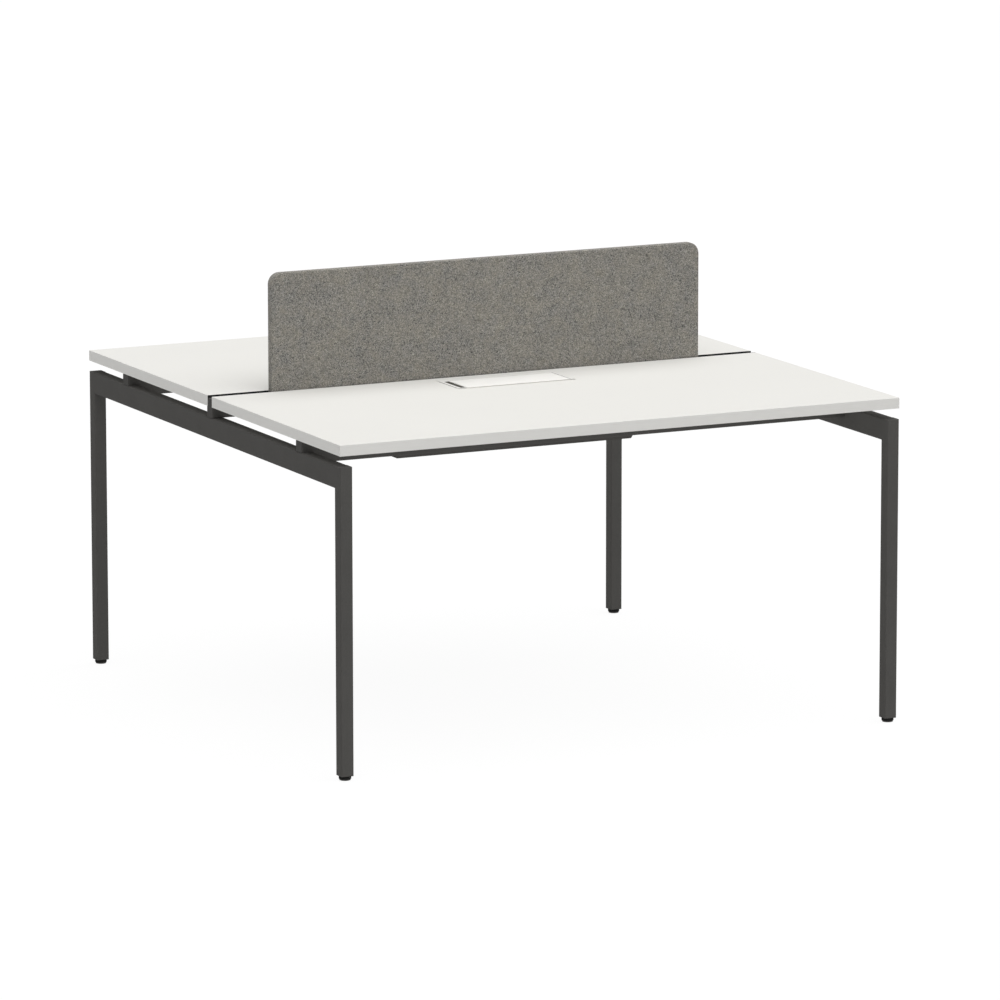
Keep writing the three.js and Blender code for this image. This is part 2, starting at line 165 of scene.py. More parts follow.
edgeLook = {
    "dull": (0.808, 0.800, 0.769),
    "clear": (0.838, 0.830, 0.799),
    "streakSize": 0.0012,
    "streakRun": (0.02, 0.02, 1.0),   # streaks drawn out along the strip, whichever way it runs
    "cloudSize": 0.15,
}


def edgeBanding():
    # extruded plastic strip: fine streaks along its run and a satin sheen
    mat, tree, shader, coords = newMaterial("edgeBanding")
    look = edgeLook
    streak = noiseAt(tree, coords, look["streakSize"], 3.0, stretch=look["streakRun"])
    cloud = noiseAt(tree, coords, look["cloudSize"], 2.0)
    tone = rampOf(tree, streak, [(0.25, look["dull"]), (0.75, look["clear"])])
    tone = mixOf(tree, tone, rampOf(tree, cloud, [(0.3, 0.98), (0.7, 1.0)]))
    link(tree, tone, shader, "Base Color")
    link(tree, rampOf(tree, streak, [(0.2, 0.48), (0.8, 0.60)]), shader, "Roughness")
    link(tree, bumpOf(tree, streak, 0.05, 0.0002), shader, "Normal")
    shader.inputs["Specular IOR Level"].default_value = 0.35
    return mat


powderLook = {
    "dark": (0.088, 0.0856, 0.0812),
    "light": (0.116, 0.1128, 0.1071),
    "grainSize": 0.0012,
    "cloudSize": 0.05,
}


def powderCoat():
    # baked dark grey powder on steel: leathery grain about a millimetre across
    mat, tree, shader, coords = newMaterial("powderCoat")
    look = powderLook
    grain = noiseAt(tree, coords, look["grainSize"], 3.0, 0.55)
    cloud = noiseAt(tree, coords, look["cloudSize"], 3.0)
    tone = rampOf(tree, grain, [(0.25, look["dark"]), (0.75, look["light"])])
    tone = mixOf(tree, tone, rampOf(tree, cloud, [(0.3, 0.94), (0.7, 1.0)]))
    link(tree, tone, shader, "Base Color")
    link(tree, rampOf(tree, grain, [(0.2, 0.62), (0.8, 0.80)]), shader, "Roughness")
    link(tree, bumpOf(tree, grain, 0.30, 0.0004), shader, "Normal")
    shader.inputs["Specular IOR Level"].default_value = 0.04
    return mat


plasticLook = {
    "grainSize": 0.0007,
    "cloudSize": 0.03,
    # each plastic: dark and light of its grain, roughness, shine
    "tones": {
        "channelCoat": ((0.010, 0.010, 0.010), (0.018, 0.018, 0.018), 0.6, 0.5),
        "capPlastic": ((0.082, 0.0797, 0.0757), (0.100, 0.0972, 0.0923), 0.7, 0.04),
        "footPlastic": ((0.013, 0.013, 0.0125), (0.022, 0.0215, 0.021), 0.6, 0.06),
        "flipPlastic": ((0.86, 0.85, 0.82), (0.88, 0.87, 0.84), 0.5, 0.5),
        "lidCoat": ((0.960, 0.949, 0.917), (0.975, 0.964, 0.932), 0.5, 0.5),
        "bristleBlack": ((0.056, 0.051, 0.042), (0.112, 0.102, 0.084), 0.6, 0.5),
    },
}


def mouldedPlastic(name):
    # spark-eroded mould texture: a fine even grain with a soft gloss
    mat, tree, shader, coords = newMaterial(name)
    look = plasticLook
    dark, light, rough, shine = look["tones"][name]
    grain = noiseAt(tree, coords, look["grainSize"], 2.0)
    cloud = noiseAt(tree, coords, look["cloudSize"], 2.0)
    tone = rampOf(tree, grain, [(0.3, dark), (0.7, light)])
    tone = mixOf(tree, tone, rampOf(tree, cloud, [(0.3, 0.97), (0.7, 1.0)]))
    link(tree, tone, shader, "Base Color")
    link(tree, rampOf(tree, grain, [(0.2, rough - 0.06), (0.8, rough + 0.08)]), shader, "Roughness")
    link(tree, bumpOf(tree, grain, 0.15, 0.0002), shader, "Normal")
    shader.inputs["Specular IOR Level"].default_value = shine
    return mat


feltLook = {
    "wool": (0.345, 0.326, 0.286),
    "woolCool": (0.312, 0.301, 0.274),
    "patchCool": (0.985, 0.993, 1.020),
    "patchWarm": (1.006, 1.0, 0.984),
    "curl": (0.36, 0.37, 0.39),
    "hair": (0.13, 0.14, 0.16),
    "cloudSize": 0.09,
    "patchSize": 0.05,
    "tuftSize": 0.016,
    "curlSize": 0.010,
    "gateSize": 0.020,                # spots where the curls come through
    "dotSize": 0.0030,
    "grainSize": 0.0023,
    # each mat: width and length of a fibre, the ways it lies in degrees, how much it bends
    "fibres": (0.0007, 0.008, (15.0, 65.0, 110.0, 160.0), 0.5),
    "hairs": (0.0021, 0.0050, (60.0, 90.0, 125.0), 1.6),
}


def fibresAt(tree, coords, width, length, turn, bend):
    # noise drawn out along one direction of the screen's face
    mapping = tree.nodes.new("ShaderNodeMapping")
    mapping.vector_type = "TEXTURE"
    mapping.inputs["Rotation"].default_value = (0.0, math.radians(turn), 0.0)
    mapping.inputs["Scale"].default_value = (1.0, 1.0, length / width)
    tree.links.new(coords, mapping.inputs["Vector"])
    return noiseAt(tree, mapping.outputs["Vector"], width, 1.0, 0.5, bend)


def matOf(tree, coords, width, length, turns, bend):
    # fibres of several directions, the highest on top
    top, *others = (fibresAt(tree, coords, width, length, turn, bend) for turn in turns)
    for other in others:
        top = mixOf(tree, top, other, 1.0, "LIGHTEN")
    return top


def woolFelt():
    # pressed felt: clouded wool with cooler and warmer patches, a mat of fibres laid in four
    # directions, a grain of fibre ends, dots that gather in the cooler patches, short dark hairs, and
    # faint curls that follow the contour lines of a noise wherever a second noise lets them
    mat, tree, shader, coords = newMaterial("woolFelt")
    look = feltLook
    cloud = noiseAt(tree, coords, look["cloudSize"], 3.0, 0.55)
    patch = noiseAt(tree, coords, look["patchSize"], 3.0, 0.6, 0.4)
    tuft = noiseAt(tree, coords, look["tuftSize"], 2.0, 0.6, 0.6)
    curl = noiseAt(tree, coords, look["curlSize"], 2.0, 0.55, 1.2)
    gate = noiseAt(tree, coords, look["gateSize"], 3.0, 0.65)
    dot = noiseAt(tree, coords, look["dotSize"], 1.5, 0.5)
    grain = noiseAt(tree, coords, look["grainSize"], 2.0, 0.7, 0.3)
    fibres = matOf(tree, coords, *look["fibres"])
    hairs = matOf(tree, coords, *look["hairs"])
    tone = rampOf(tree, tuft, [(0.35, look["woolCool"]), (0.62, look["wool"])])
    tone = mixOf(tree, tone, rampOf(tree, cloud, [(0.3, 0.95), (0.7, 1.02)]))
    tone = mixOf(tree, tone, rampOf(tree, patch, [(0.38, look["patchCool"]), (0.62, look["patchWarm"])]))
    line = rampOf(tree, curl, [(0.46, 1.0), (0.49, look["curl"]), (0.51, look["curl"]), (0.54, 1.0)])
    tone = mixOf(tree, tone, line, rampOf(tree, gate, [(0.52, 0.0), (0.62, 0.35)]))
    cool = rampOf(tree, patch, [(0.40, 1.0), (0.58, 0.35)])
    tone = mixOf(tree, tone, rampOf(tree, dot, [(0.54, 1.0), (0.66, look["curl"])]), cool)
    tone = mixOf(tree, tone, rampOf(tree, hairs, [(0.67, 1.0), (0.72, look["hair"])]))
    tone = mixOf(tree, tone, rampOf(tree, grain, [(0.30, 0.50), (0.50, 1.0), (0.70, 1.5)]))
    tone = mixOf(tree, tone, rampOf(tree, fibres, [(0.50, 0.62), (0.62, 1.0), (0.75, 1.4)]))
    link(tree, tone, shader, "Base Color")
    shader.inputs["Roughness"].default_value = 1.0
    shader.inputs["Specular IOR Level"].default_value = 0.1
    shader.inputs["Sheen Weight"].default_value = 0.15
    shader.inputs["Sheen Roughness"].default_value = 0.6
    soft = bumpOf(tree, grain, 0.4, 0.0012, bumpOf(tree, tuft, 0.3, 0.0012))
    link(tree, bumpOf(tree, fibres, 0.5, 0.0008, soft), shader, "Normal")
    return mat


boardLook = {
    "dark": (0.24, 0.17, 0.10),
    "light": (0.38, 0.29, 0.18),
    "grainSize": 0.0015,
}


def fibreBoard():
    # pressed wood fibre of the board inside the screen
    mat, tree, shader, coords = newMaterial("fibreBoard")
    look = boardLook
    grain = noiseAt(tree, coords, look["grainSize"], 4.0, 0.6)
    link(tree, rampOf(tree, grain, [(0.3, look["dark"]), (0.7, look["light"])]), shader, "Base Color")
    shader.inputs["Roughness"].default_value = 0.9
    link(tree, bumpOf(tree, grain, 0.3, 0.0004), shader, "Normal")
    return mat


steelLook = {
    "lineSize": 0.0006,
    "lineRun": (0.05, 1.0, 1.0),      # drawn out along x, the way the rods lie
    "shade": 0.8,                     # depth of the lines
    # each metal: tint, roughness
    "tones": {
        "rodSteel": ((0.62, 0.61, 0.60), 0.3),
        "screwZinc": ((0.34, 0.34, 0.35), 0.38),
    },
}


def drawnSteel(name):
    # bright metal with fine lines from drawing
    mat, tree, shader, coords = newMaterial(name)
    look = steelLook
    tint, rough = look["tones"][name]
    lines = noiseAt(tree, coords, look["lineSize"], 3.0, stretch=look["lineRun"])
    dark = tuple(look["shade"] * part for part in tint)
    link(tree, rampOf(tree, lines, [(0.2, dark), (0.8, tint)]), shader, "Base Color")
    link(tree, rampOf(tree, lines, [(0.2, rough - 0.06), (0.8, rough + 0.1)]), shader, "Roughness")
    shader.inputs["Metallic"].default_value = 1.0
    return mat


def overpaint(mat, colour, where, mode="MULTIPLY"):
    # lays a colour over a finished material wherever the mask is 1
    tree = mat.node_tree
    shader = tree.nodes["Principled BSDF"]
    face = shader.inputs["Base Color"].links[0].from_socket
    link(tree, mixOf(tree, face, colour, where, mode), shader, "Base Color")


jointShadeLook = {
    "top": 0.755,                     # the flush faces of lid, rim and worktop
    "skin": 0.0001,                   # how far the unshaded face reaches down
    "floor": 0.7505,                  # underside of the rim
    "ends": 0.1425,                   # only walls further out than this get the painted shade
    "middle": 0.1025,                 # across the box, the stretch of painted shade is centred here
    "reach": 0.049,                   # and goes this far either way
    # painted shade: the grey the joint walls are darkened to
    "shadeInJoint": 0.08,
}


def paintJointShade(mat):
    # painted shade: below its flush face the rim's walls are greyed where shadow falls in the narrow
    # joints
    look = jointShadeLook
    tree = mat.node_tree
    place = splitOf(tree)
    depth = tree.nodes.new("ShaderNodeMapRange")
    depth.inputs["From Min"].default_value = look["floor"]
    depth.inputs["From Max"].default_value = look["top"]
    tree.links.new(place["Z"], depth.inputs["Value"])
    unshadedFrom = 1 - look["skin"] / (look["top"] - look["floor"])
    dark = rampOf(tree, depth.outputs["Result"], [
        (0.0, 1.0), (0.05, look["shadeInJoint"]), (unshadedFrom - 0.01, look["shadeInJoint"]), (unshadedFrom, 1.0),
    ])
    outward = mathOf(tree, "ABSOLUTE", place["X"])
    atEnds = mathOf(tree, "GREATER_THAN", outward, look["ends"])
    across = mathOf(tree, "ABSOLUTE", place["Y"])
    between = mathOf(tree, "COMPARE", across, look["middle"], look["reach"])
    overpaint(mat, dark, mathOf(tree, "MULTIPLY", atEnds, between))


grooveShadeLook = {
    "front": 0.1566,                  # only the front walls of lid and rim lie further out than this
    # painted shade: how far the groove's front walls are darkened
    "shadeInGroove": 0.70,
}


def paintGrooveShade(mat):
    # painted shade: the front walls of the finger groove behind the lid's edge are greyed where the
    # groove lies in shadow
    look = grooveShadeLook
    tree = mat.node_tree
    across = mathOf(tree, "ABSOLUTE", splitOf(tree)["Y"])
    overpaint(mat, (look["shadeInGroove"],) * 3, mathOf(tree, "GREATER_THAN", across, look["front"]))


soleLook = {
    "height": 0.0028,
    "grey": (0.088, 0.085, 0.080),
}


def paleSole(mat):
    # below this height the foot's colour is replaced by a grey
    look = soleLook
    tree = mat.node_tree
    overpaint(mat, look["grey"], mathOf(tree, "LESS_THAN", splitOf(tree)["Z"], look["height"]), "MIX")


finishes = {
    "worktop_white": melamineBoard(),
    "edge_band_white": edgeBanding(),
    "frame_grey": powderCoat(),
    "channel_black": mouldedPlastic("channelCoat"),
    "cap_grey": mouldedPlastic("capPlastic"),
    "foot_black": mouldedPlastic("footPlastic"),
    "screen_felt": woolFelt(),
    "screen_board": fibreBoard(),
    "flip_top_white": mouldedPlastic("flipPlastic"),
    "flip_lid_white": mouldedPlastic("lidCoat"),
    "bright_steel": drawnSteel("rodSteel"),
}
# painted shade in the joints at the rim's ends
paintJointShade(finishes["flip_top_white"])
# painted shade on the finger groove's front walls of rim and lid
paintGrooveShade(finishes["flip_top_white"])
paintGrooveShade(finishes["flip_lid_white"])
paleSole(finishes["foot_black"])
screwZinc = drawnSteel("screwZinc")
bristleBlack = mouldedPlastic("bristleBlack")

for part in frame["record"]["subparts"]:
    node = nodes[part["node"]]
    node.data.materials.clear()
    node.data.materials.append(finishes[part["material_slot"]])


# mesh helpers

def gridFaces(rows, columns, closeColumns=False):
    # quads between neighbouring points of a rows by columns grid, wrapping where closed
    r = np.arange(rows - 1)[:, None]
    c = np.arange(columns if closeColumns else columns - 1)[None, :]
    r2, c2 = r + 1, (c + 1) % columns
    quads = np.stack([r * columns + c, r * columns + c2, r2 * columns + c2, r2 * columns + c], -1)
    return quads.reshape(-1, 4)


def addPiece(name, points, quads, material, body, weld=1e-6):
    # points is any array of triples, quads of row numbers; doubles are merged, normals point out
    flatPoints = np.ascontiguousarray(points.reshape(-1, 3), dtype=np.float32)
    mesh = bpy.data.meshes.new(name)
    mesh.vertices.add(len(flatPoints))
    mesh.vertices.foreach_set("co", flatPoints.ravel())
    mesh.loops.add(quads.size)
    mesh.loops.foreach_set("vertex_index", np.ascontiguousarray(quads, dtype=np.int32).ravel())
    mesh.polygons.add(len(quads))
    mesh.polygons.foreach_set("loop_start", np.arange(0, quads.size, 4, dtype=np.int32))
    mesh.update(calc_edges=True)
    mesh.validate()
    work = bmesh.new()
    work.from_mesh(mesh)
    bmesh.ops.remove_doubles(work, verts=work.verts, dist=weld)
    bmesh.ops.recalc_face_normals(work, faces=work.faces)
    work.to_mesh(mesh)
    work.free()
    mesh.polygons.foreach_set("use_smooth", np.full(len(mesh.polygons), True))
    mesh.materials.append(material)
    obj = bpy.data.objects.new(name, mesh)
    bpy.context.scene.collection.objects.link(obj)
    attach(obj, body)
    return obj


def repeatFaces(quads, copies, stride):
    # the same faces for every copy, each counting on from the points of the one before
    return (quads[None] + (np.arange(copies) * stride)[:, None, None]).reshape(-1, 4)


def many(points, quads, places):
    # one shape at several places: points (n,3) and places (k,3,4) give k copies in one array
    turned = np.einsum("kij,nj->kni", places[:, :, :3], points) + places[:, None, :, 3]
    return turned.reshape(-1, 3), repeatFaces(quads, len(places), len(points))


# felt screen

screenSize = {
    "edgeRadius": 3 * mm,             # rounding of the felt over the board's edges
    "topCorner": 27 * mm,
    "bottomCorner": 8 * mm,
    "step": 5 * mm,                   # point spacing along the outline
    "arcPoints": 14,
    "faceRings": 30,
    "edgeRings": 8,
    "ripple": 0.22 * mm,              # unevenness of the felt, always inwards
    "waves": 14,
    "waveLengths": (12 * mm, 60 * mm),
    "waveDepth": 0.7,                 # how far a wave shifts from front to back
    "seed": 7,
}


def screenOutline(low, high, size):
    # outline in x and z: straight runs and quarter arcs, with the outward normal at each point
    r = np.array([size["bottomCorner"], size["bottomCorner"], size["topCorner"], size["topCorner"]])
    sx = np.array([-1, 1, 1, -1])
    sz = np.array([-1, -1, 1, 1])
    cx = np.where(sx < 0, low.x + r, high.x - r)
    cz = np.where(sz < 0, low.z + r, high.z - r)
    start = np.radians([180, 270, 0, 90])
    runs, normals = [], []
    for k in range(4):
        turn = start[k] + np.linspace(0, math.pi / 2, size["arcPoints"])
        arc = np.stack([np.cos(turn), np.sin(turn)], -1)
        runs.append(np.array([cx[k], cz[k]]) + r[k] * arc)
        normals.append(arc)
        after = (k + 1) % 4
        end = np.array([cx[after], cz[after]]) + r[after] * arc[-1]
        count = int(np.linalg.norm(end - runs[-1][-1]) / size["step"])
        share = np.linspace(0, 1, count + 1)[1:-1, None]
        normals.append(np.repeat(arc[-1:], len(share), 0))
        runs.append(runs[-1][-1] * (1 - share) + end * share)
    return np.concatenate(runs), np.concatenate(normals)


def unevenness(x, z, y, size):
    # sum of slanted sine waves of several lengths, scaled to lie between 0 and 1
    draw = np.random.default_rng(size["seed"])
    total = np.zeros_like(x)
    for wave in draw.uniform(*size["waveLengths"], size["waves"]):
        slant = draw.uniform(0, 2 * math.pi)
        phase = draw.uniform(0, 2 * math.pi)
        along = x * math.cos(slant) + z * math.sin(slant) + size["waveDepth"] * y
        total += np.sin(along * 2 * math.pi / wave + phase)
    return np.clip(0.5 + total / size["waves"], 0, 1)


def makeScreen():
    # rings of the outline: from the middle line of the front face out to the edge, over the
    # rounded edge by d = r (1 - cos a), y = r sin a, and in again to the middle line at the back
    size = screenSize
    low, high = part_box("screen_cover")
    outline, normal = screenOutline(low, high, size)
    half = (high.y - low.y) / 2
    r = size["edgeRadius"]
    middleZ = (low.z + high.z) / 2
    reach = (high.x - low.x - high.z + low.z) / 2
    spineX = np.clip(outline[:, 0], -reach, reach)
    spine = np.stack([spineX, np.full_like(spineX, middleZ)], -1)
    inner = outline - normal * r
    share = np.linspace(1, 0, size["faceRings"])[:, None, None]
    face = inner * (1 - share) + spine * share
    turn = np.linspace(-math.pi / 2, 0, size["edgeRings"])
    rim = outline - normal * (r * (1 - np.cos(turn)))[:, None, None]
    flat = np.concatenate([face[:-1], rim, rim[::-1], face[:-1][::-1]])
    front = np.concatenate([np.full(len(face) - 1, -half), -(half - r) + r * np.sin(turn)])
    depth = np.concatenate([front, -front[::-1]])
    y = np.repeat(depth[:, None], len(outline), 1)
    dent = size["ripple"] * unevenness(flat[..., 0], flat[..., 1], y, size)
    y = y - np.sign(y) * dent * np.minimum(1, np.abs(y) / (half - r))
    points = np.stack([flat[..., 0], y, flat[..., 1]], -1)
    quads = gridFaces(*points.shape[:2], closeColumns=True)
    wool = finishes["screen_felt"]
    felt = addPiece("screen_felt", points, quads, wool, "desk_frame", weld=1e-5)
    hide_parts("screen_cover")


makeScreen()
print("felt screen made")


# levelling feet

footSize = {
    # the cup from its sole up the wall and down to the nut: way in from the rim and height in
    # millimetres, share of the ribs
    "cup": (
        (2.6, 0.0, 0.0), (1.8, 0.3, 0.0), (1.5, 0.9, 0.0), (1.5, 2.7, 0.0),
        (0.9, 2.9, 0.2), (0.2, 3.4, 0.7), (0.0, 4.2, 1.0), (0.0, 7.9, 1.0),
        (0.25, 8.7, 0.7), (0.9, 9.2, 0.2), (1.6, 9.2, 0.0), (2.2, 8.8, 0.0),
        (2.5, 8.0, 0.0), (2.7, 6.0, 0.0), (3.2, 5.6, 0.0), (5.0, 5.6, 0.0), (6.6, 6.2, 0.0),
    ),
    "ribs": 30,
    "ribDepth": 0.35 * mm,
    "nutRadius": 6.0 * mm,            # to the flats
    "nut": ((0.97, 6.2), (1.0, 6.5), (1.0, 9.6), (0.97, 10.0)),   # share of the radius, height in mm
    "stemRadius": 4 * mm,
    "pitch": 1.25 * mm,
    "threadDepth": 0.55 * mm,
    "threadRings": 170,
    "columns": 60,
}


def makeFoot(name):
    # turned profile r(z), a cup; its wall carries cosine ribs, the nut in it is a hexagon, and the stem
    # is a screw: its radius falls and rises with the fraction of z / pitch - angle / full turn
    size = footSize
    low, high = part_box(f"{name}_levelling_foot")
    centre = (low + high) / 2
    pad = (high.x - low.x) / 2
    angle = np.linspace(0, 2 * math.pi, size["columns"], endpoint=False)
    middle = np.zeros((1, len(angle)))
    inset, cupZ, ribbed = np.array(size["cup"]).T[:, :, None]
    cupR = pad - inset * mm - size["ribDepth"] * ribbed * (0.5 - 0.5 * np.cos(size["ribs"] * angle))
    hexagon = size["nutRadius"] / np.cos((angle + math.pi / 6) % (math.pi / 3) - math.pi / 6)
    nutShare, nutZ = np.array(size["nut"]).T[:, :, None]
    stemZ = np.linspace(nutZ[-1] * mm, high.z, size["threadRings"])
    groove = np.abs(((stemZ / size["pitch"] - angle / (2 * math.pi)) % 1) * 2 - 1)
    stemR = size["stemRadius"] - size["threadDepth"] * groove
    radius = np.concatenate([middle, cupR, hexagon * nutShare, stemR, middle])
    rings = np.concatenate([[[0]], cupZ * mm, nutZ * mm, stemZ, [[high.z]]])
    height = np.repeat(rings, len(angle), 1)
    points = np.stack([
        centre.x + radius * np.cos(angle), centre.y + radius * np.sin(angle), low.z + height,
    ], -1)
    quads = gridFaces(*points.shape[:2], closeColumns=True)
    black = finishes["foot_black"]
    foot = addPiece(f"{name}_foot_glide", points, quads, black, f"{name}_foot")
    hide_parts(f"{name}_levelling_foot")


for legName in ("front_left", "front_right", "rear_left", "rear_right"):
    makeFoot(legName)
print("levelling feet made")


# screws in brackets, hangers and tray

screwSize = {
    "headRadius": 4.6 * mm,
    "headHeight": 2.1 * mm,
    "crown": 2.6,                     # higher is flatter
    "columns": 40,
    "crossWidth": 0.75 * mm,
    "crossReach": 2.5 * mm,
    "crossDepth": 1.4 * mm,
    "crossFlank": 0.35 * mm,          # width of the slope at the cross's sides
    "crossEnd": 0.4 * mm,             # and at its ends
    "bracketWall": 2.5 * mm,
    "bracketShift": 11 * mm,          # either way of the bracket's middle
    "wingReach": 19 * mm,             # from the bracket's upright to the screws in the worktop
    "uprightLift": 8 * mm,
    "strapWall": 3 * mm,
    "strapShift": 8 * mm,
    "trayLift": 22 * mm,
    "spin": 3,                        # the crosses are turned by up to this, in radians
    "seed": 3,
}


def screwHead():
    # domed head: height follows (1 - (r/R)^crown)^0.5; a cross is pressed into the crown
    size = screwSize
    angle = np.linspace(0, 2 * math.pi, size["columns"], endpoint=False)
    share = np.concatenate([np.linspace(0, 0.62, 9), np.linspace(0.7, 1, 7)])   # closer at the rim
    r = size["headRadius"] * share[:, None] * np.ones_like(angle)
    dome = np.sqrt(np.clip(1 - share ** size["crown"], 0, 1))
    h = size["headHeight"] * dome[:, None] * np.ones_like(angle)
    x, y = r * np.cos(angle), r * np.sin(angle)
    arm = np.minimum(np.abs(x), np.abs(y))
    press = np.clip((size["crossWidth"] - arm) / size["crossFlank"], 0, 1)
    press = press * np.clip((size["crossReach"] - r) / size["crossEnd"], 0, 1)
    top = np.stack([x, y, h - size["crossDepth"] * press], -1)
    base = np.zeros((1, len(angle), 3))
    points = np.concatenate([top, base])
    return points.reshape(-1, 3), gridFaces(len(points), len(angle), closeColumns=True)


def facing(direction, place, spin):
    # 3 by 4 place of a head that sits at place and looks along direction
    turn = Vector(direction).to_track_quat("Z", "Y").to_matrix() @ Matrix.Rotation(spin, 3, "Z")
    return np.concatenate([np.array(turn), np.array(place, float)[:, None]], 1)


def makeScrews():
    # each bracket has two screws up into the worktop and two into the beam; each hanger has two up
    # into the spine beam and two on either side of the tray
    size = screwSize
    draw = np.random.default_rng(size["seed"])
    places = []

    def put(direction, place):
        places.append(facing(direction, place, draw.uniform(0, size["spin"])))

    wall = size["bracketWall"]
    reachSide = {"front_beam": 1, "front_spine": -1, "rear_beam": -1, "rear_spine": 1}
    for beamName, side in reachSide.items():
        for end in ("left", "right"):
            low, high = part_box(f"{beamName}_bracket_{end}")
            root = low.y if side > 0 else high.y
            for shift in (-size["bracketShift"], size["bracketShift"]):
                x = (low.x + high.x) / 2 + shift
                put((0, 0, -1), (x, root + side * size["wingReach"], high.z - wall))
                put((0, side, 0), (x, root + side * wall, low.z + size["uprightLift"]))
    trayLow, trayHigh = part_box("cable_tray")
    for end in ("left", "right"):
        low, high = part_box(f"tray_hanger_{end}")
        for shift in (-size["strapShift"], size["strapShift"]):
            x = (low.x + high.x) / 2 + shift
            put((0, 0, -1), (x, 0, high.z - size["strapWall"]))
            for side, face in ((-1, trayLow.y), (1, trayHigh.y)):
                put((0, side, 0), (x, face, low.z + size["trayLift"]))
    points, quads = many(*screwHead(), np.array(places))
    addPiece("frame_screws", points, quads, screwZinc, "desk_frame")
    return len(places)


print("screws made:", makeScrews())


# bristles across the cable slots

brushSize = {
    "thickness": 0.34 * mm,
    "taper": 0.45,                    # share of its thickness a bristle loses to the tip
    "rings": 5,
    "spacing": 0.62 * mm,
    "sway": 0.3 * mm,                 # unevenness of the spacing
    "layers": 4,
    "sunk": 0.7 * mm,                 # top layer below the rim's face
    "layerDrop": 0.85 * mm,
    "layerSway": 0.2 * mm,
    "slotWidth": 14.5 * mm,
    "border": 5.5 * mm,               # front of the rim to the first bristle
    "length": 90.5 * mm,
    "shy": 0.5 * mm,                  # bristle tips stay this far from the lid
    "short": 1.0 * mm,                # and up to this much further
    "lean": 0.9 * mm,
    "droop": (0.1 * mm, 0.7 * mm),
    "seed": 11,
}


def makeBrush(side, sign):
    # each bristle is a tapering three-sided rod from the rim to the lid, drooping by the square
    # of its length, with its start, droop and lean drawn at random
    size = brushSize
    draw = np.random.default_rng(size["seed"])
    frameLow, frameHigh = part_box(f"{side}_flip_frame")
    lidLow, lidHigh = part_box(f"{side}_flip_lid")
    lidEdge = lidLow.x if sign > 0 else -lidHigh.x          # seen from the user's own side
    front = frameLow.y if sign > 0 else -frameHigh.y
    root = lidEdge - size["slotWidth"]
    start = front + size["border"]
    run = np.arange(start, start + size["length"], size["spacing"])
    y, layer = (a.ravel() for a in np.meshgrid(run, np.arange(size["layers"])))
    count = len(y)
    y = y + draw.uniform(-1, 1, count) * size["sway"]
    z = frameHigh.z - size["sunk"] - size["layerDrop"] * layer
    z = z - draw.uniform(-1, 1, count) * size["layerSway"]
    length = size["slotWidth"] - size["shy"] - draw.uniform(0, 1, count) * size["short"]
    lean = draw.normal(0, 1, count) * size["lean"]
    droop = draw.uniform(*size["droop"], count)
    t = np.linspace(0, 1, size["rings"])
    thin = size["thickness"] / 2 * (1 - size["taper"] * t)
    corner = np.radians([90, 210, 330])
    rodX = np.broadcast_to((root + length[:, None] * t)[:, :, None], (count, len(t), 3))
    rodY = (y[:, None] + lean[:, None] * t ** 2)[:, :, None] + thin[None, :, None] * np.cos(corner)
    rodZ = (z[:, None] - droop[:, None] * t ** 2)[:, :, None] + thin[None, :, None] * np.sin(corner)
    points = np.stack([sign * rodX, sign * rodY, rodZ], -1)
    tipPoint = points[:, -1:].mean(2, keepdims=True).repeat(3, 2)
    rootPoint = points[:, :1].mean(2, keepdims=True).repeat(3, 2)
    points = np.concatenate([rootPoint, points, tipPoint], 1)
    rings = points.shape[1]
    quads = repeatFaces(gridFaces(rings, 3, closeColumns=True), count, rings * 3)
    addPiece(f"{side}_cable_brush", points, quads, bristleBlack, "desk_frame", weld=1e-7)


makeBrush("front", 1)
makeBrush("rear", -1)
print("cable brushes made")


# weld beads under the side rails

weldSize = {
    "leg": 2.4 * mm,
    "ripple": 0.3 * mm,
    "pitch": 1.7 * mm,
    "inset": 2.6 * mm,
    "rings": 70,
    "arcPoints": 9,
    "ends": 10,                       # higher closes the bead more bluntly
}


def makeWelds():
    # a bead along x in the corner of rail and leg: a quarter round whose radius ripples with the
    # sine of x and closes to nothing at both ends
    size = weldSize
    t = np.linspace(0, 1, size["rings"])
    corner = np.radians(np.linspace(0, 90, size["arcPoints"]))
    around = len(corner) + 1
    groups = []
    for railName in ("left_side_rail", "right_side_rail"):
        low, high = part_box(railName)
        run = high.x - low.x - 2 * size["inset"]
        radius = size["leg"] + size["ripple"] * np.abs(np.sin(math.pi * t * run / size["pitch"]))
        radius = radius * np.sqrt(np.clip(1 - (2 * t - 1) ** size["ends"], 0, 1))
        x = low.x + size["inset"] + run * t
        for y, inward in ((low.y, 1), (high.y, -1)):
            side = radius[:, None] * np.concatenate([[0], np.cos(corner)])
            down = radius[:, None] * np.concatenate([[0], np.sin(corner)])
            along = np.repeat(x[:, None], around, 1)
            groups.append(np.stack([along, y + inward * side, low.z - down], -1))
    points = np.stack(groups)
    quads = repeatFaces(gridFaces(len(t), around, closeColumns=True), len(points), len(t) * around)
    addPiece("rail_welds", points, quads, finishes["frame_grey"], "desk_frame")


makeWelds()
print("welds made")


# studio

studio = {
    "floorWidth": 120.0,
    "floorColour": (0.07, 0.07, 0.07),
    "floorGlow": 0.94,
    "skyHigh": 0.20,
    "skyLow": 0.72,
    "skyBlend": 0.15,                 # height over and under the horizon where the two meet
    # each lamp: the way its light travels, strength, spread in degrees
    "lamps": {
        "key": ((-0.09, 0.145, -0.75), 2.92, 88.0),
        "side": ((-0.90, -0.10, -0.35), 0.35, 40.0),
    },
}


